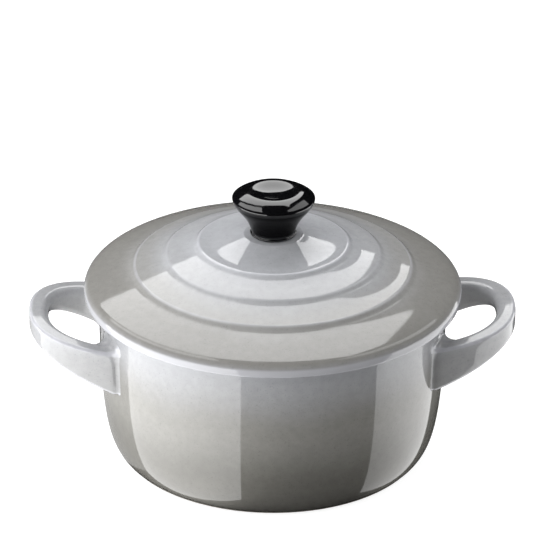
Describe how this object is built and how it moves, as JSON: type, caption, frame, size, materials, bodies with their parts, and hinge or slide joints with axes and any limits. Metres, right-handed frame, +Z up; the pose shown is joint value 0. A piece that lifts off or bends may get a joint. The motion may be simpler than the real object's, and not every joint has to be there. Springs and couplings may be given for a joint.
{
  "type": "mini casserole dish",
  "caption": "Small round stoneware casserole dish with loop handles, a stepped lift-off lid and a black screwed-on knob, for baking and serving a single portion.",
  "frame": {"origin": "on the table, on the axis of the pot, under the middle of the foot ring", "axes": "+Z up along the axis of the pot and lid, +X towards the right handle"},
  "size_m": [0.1396, 0.108, 0.0801],
  "materials": {
    "pot_glaze": "gloss glaze, pale bluish grey at the rim shading to warm grey below",
    "lid_glaze": "gloss glaze, warm grey at the edge shading to pale bluish grey in the middle",
    "knob_black": "polished black phenolic",
    "insert_brass": "turned",
    "screw_steel": "turned stainless steel",
    "washer_silicone": "matte silicone"
  },
  "bodies": {
    "pot": {"pot_body": "pot_glaze", "left_handle": "pot_glaze", "right_handle": "pot_glaze"},
    "washer": {"knob_washer": "washer_silicone"},
    "lid": {"lid": "lid_glaze", "knob": "knob_black", "knob_insert": "insert_brass", "knob_screw": "screw_steel"}
  },
  "joints": [
    {"name": "lid_lift", "type": "slide", "parent": "pot", "child": "washer", "axis": [0, 0, 1], "range_m": [0, 0.1]},
    {"name": "lid_turn", "type": "hinge", "parent": "washer", "child": "lid", "pos_m": [0, 0, 0.0591], "axis": [0, 0, 1], "continuous": true}
  ]
}
